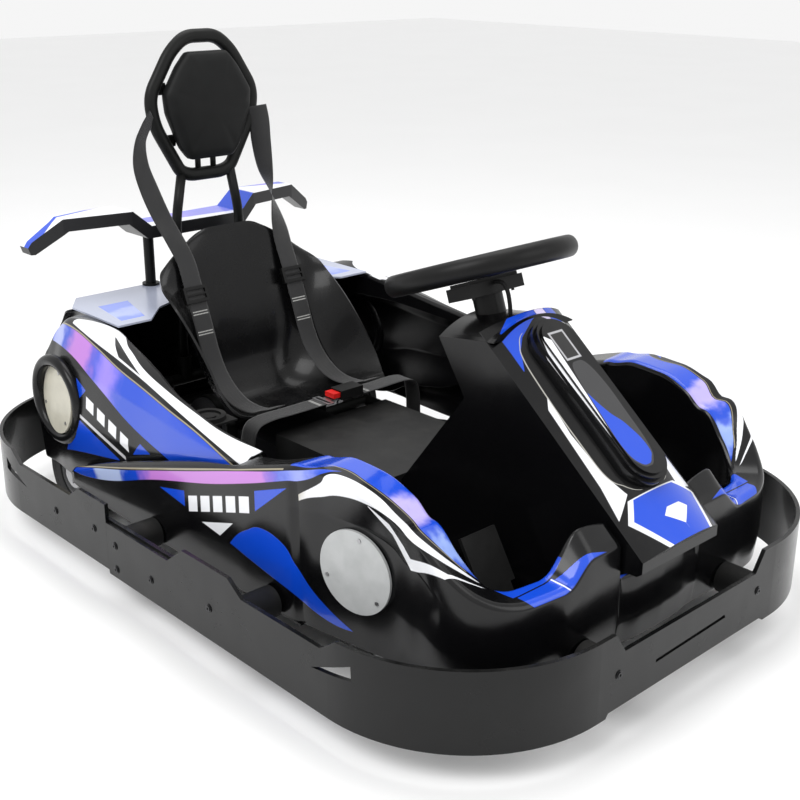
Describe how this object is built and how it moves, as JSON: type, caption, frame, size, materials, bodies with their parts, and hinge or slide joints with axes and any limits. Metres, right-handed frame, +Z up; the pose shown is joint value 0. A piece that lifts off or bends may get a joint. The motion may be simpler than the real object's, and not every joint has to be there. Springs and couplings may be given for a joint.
{
  "type": "pedal go kart",
  "caption": "Low electric kart with two foot pedals, a wrap-round bumper, bucket seat with harness, headrest hoop and rear wing",
  "frame": {"origin": "on the floor under the middle of the bumper ring", "axes": "X forward to the nose, Y to the driver's left, Z up"},
  "size_m": [1.622, 1.106, 1.0305],
  "materials": {
    "frame_black": "satin black powder coat",
    "tub_black": "moulded black plastic",
    "decal_blue": "black plastic under blue and white film",
    "deck_grey": "pale film over plastic",
    "bumper_black": "glossy black strip",
    "rubber_black": "matt black rubber",
    "tyre_black": "slick rubber",
    "screw_black": "blackened steel",
    "lens_grey": "satin light grey disc",
    "lens_cream": "satin cream disc",
    "steel": "machined steel",
    "seat_black": "semi-gloss black shell",
    "cover_grey": "dark grey satin plate",
    "alloy": "cast and turned alloy",
    "pad_black": "black vinyl",
    "wing_white": "white and blue film over black plastic",
    "motor_black": "black enamel",
    "webbing": "woven black webbing",
    "button_red": "red plastic",
    "pedal_black": "black steel plate"
  },
  "bodies": {
    "chassis": {"chassis_frame": "frame_black", "floor_pan": "tub_black", "front_shell": "tub_black", "rear_shell": "decal_blue", "rear_deck": "deck_grey", "nose_cowl": "tub_black", "nose_capsule": "tub_black", "bumper_front": "bumper_black", "bumper_rear": "bumper_black", "bumper_buffers": "rubber_black", "bumper_screws": "screw_black", "wheel_liners": "tub_black", "lens_front_left": "lens_grey", "lens_front_right": "lens_grey", "lens_rear_left": "lens_cream", "lens_rear_right": "lens_cream", "lens_screws": "steel", "seat_shell": "seat_black", "battery_cover": "cover_grey", "battery_pack": "cover_grey", "motor_controller": "alloy", "headrest_frame": "frame_black", "headrest_pad": "pad_black", "rear_wing": "wing_white", "wing_posts": "frame_black", "column_sleeve": "frame_black", "steering_cable": "rubber_black", "drive_motor": "motor_black", "gearbox_case": "alloy", "axle_bearings": "alloy", "brake_caliper": "alloy", "charge_socket": "cover_grey", "shoulder_strap_left": "webbing", "shoulder_strap_right": "webbing", "strap_adjusters": "tub_black", "lap_straps": "webbing", "buckle_body": "tub_black", "buckle_tongue": "steel", "pivot_pins": "steel", "switch_box": "tub_black"},
    "steering": {"steering_rim": "rubber_black", "steering_shaft": "steel"},
    "horn": {"horn_button": "button_red"},
    "knuckle_l": {"knuckle_left": "steel"},
    "knuckle_r": {"knuckle_right": "steel"},
    "tie_rod_l": {"tie_rod_left": "steel"},
    "tie_rod_r": {"tie_rod_right": "steel"},
    "wheel_fl": {"front_tyre_left": "tyre_black", "front_wheel_left": "alloy"},
    "wheel_fr": {"front_tyre_right": "tyre_black", "front_wheel_right": "alloy"},
    "rear_drive": {"rear_axle": "steel", "rear_wheels": "alloy", "rear_tyres": "tyre_black", "axle_gear": "steel", "brake_disc": "steel"},
    "pinion": {"motor_pinion": "steel"},
    "accelerator": {"accelerator_pedal": "pedal_black"},
    "brake": {"brake_pedal": "pedal_black"},
    "buckle_release": {"buckle_button": "button_red"}
  },
  "joints": [
    {"name": "steer", "type": "hinge", "parent": "chassis", "child": "steering", "pos_m": [0.298, 0, 0.66], "axis": [-0.342, 0, 0.9397], "range_deg": [-50, 50]},
    {"name": "horn_press", "type": "slide", "parent": "steering", "child": "horn", "axis": [0.342, 0, -0.9397], "range_m": [0, 0.003], "stiffness_N_per_m": 400},
    {"name": "kingpin_left", "type": "hinge", "parent": "chassis", "child": "knuckle_l", "pos_m": [0.446, 0.29, 0.09], "axis": [0, 0, 1], "range_deg": [-21, 21]},
    {"name": "kingpin_right", "type": "hinge", "parent": "chassis", "child": "knuckle_r", "pos_m": [0.446, -0.29, 0.09], "axis": [0, 0, 1], "range_deg": [-21, 21]},
    {"name": "rod_left", "type": "hinge", "parent": "knuckle_l", "child": "tie_rod_l", "pos_m": [0.549, 0.29, 0.073], "axis": [0, 0, 1], "range_deg": [-21, 21]},
    {"name": "rod_right", "type": "hinge", "parent": "knuckle_r", "child": "tie_rod_r", "pos_m": [0.549, -0.29, 0.073], "axis": [0, 0, 1], "range_deg": [-21, 21]},
    {"name": "spin_front_left", "type": "hinge", "parent": "knuckle_l", "child": "wheel_fl", "pos_m": [0.446, 0.345, 0.09], "axis": [0, 1, 0], "continuous": true},
    {"name": "spin_front_right", "type": "hinge", "parent": "knuckle_r", "child": "wheel_fr", "pos_m": [0.446, -0.345, 0.09], "axis": [0, 1, 0], "continuous": true},
    {"name": "spin_rear", "type": "hinge", "parent": "chassis", "child": "rear_drive", "pos_m": [-0.532, 0, 0.1], "axis": [0, 1, 0], "continuous": true},
    {"name": "spin_pinion", "type": "hinge", "parent": "chassis", "child": "pinion", "pos_m": [-0.48379, 0, 0.15745], "axis": [0, 1, 0], "continuous": true},
    {"name": "accelerate", "type": "hinge", "parent": "chassis", "child": "accelerator", "pos_m": [0.56, -0.19, 0.132], "axis": [0, 1, 0], "range_deg": [0, 20], "stiffness_Nm_per_rad": 3},
    {"name": "brake_press", "type": "hinge", "parent": "chassis", "child": "brake", "pos_m": [0.56, 0.19, 0.132], "axis": [0, 1, 0], "range_deg": [0, 20], "stiffness_Nm_per_rad": 3},
    {"name": "buckle_press", "type": "slide", "parent": "chassis", "child": "buckle_release", "axis": [0, 1, 0], "range_m": [0, 0.004], "stiffness_N_per_m": 300}
  ],
  "couplings": [
    {"joint": "kingpin_left", "follows": "steer", "ratio": 0.42},
    {"joint": "kingpin_right", "follows": "steer", "ratio": 0.42},
    {"joint": "rod_left", "follows": "steer", "ratio": -0.42},
    {"joint": "rod_right", "follows": "steer", "ratio": -0.42},
    {"joint": "spin_pinion", "follows": "spin_rear", "ratio": -4}
  ]
}
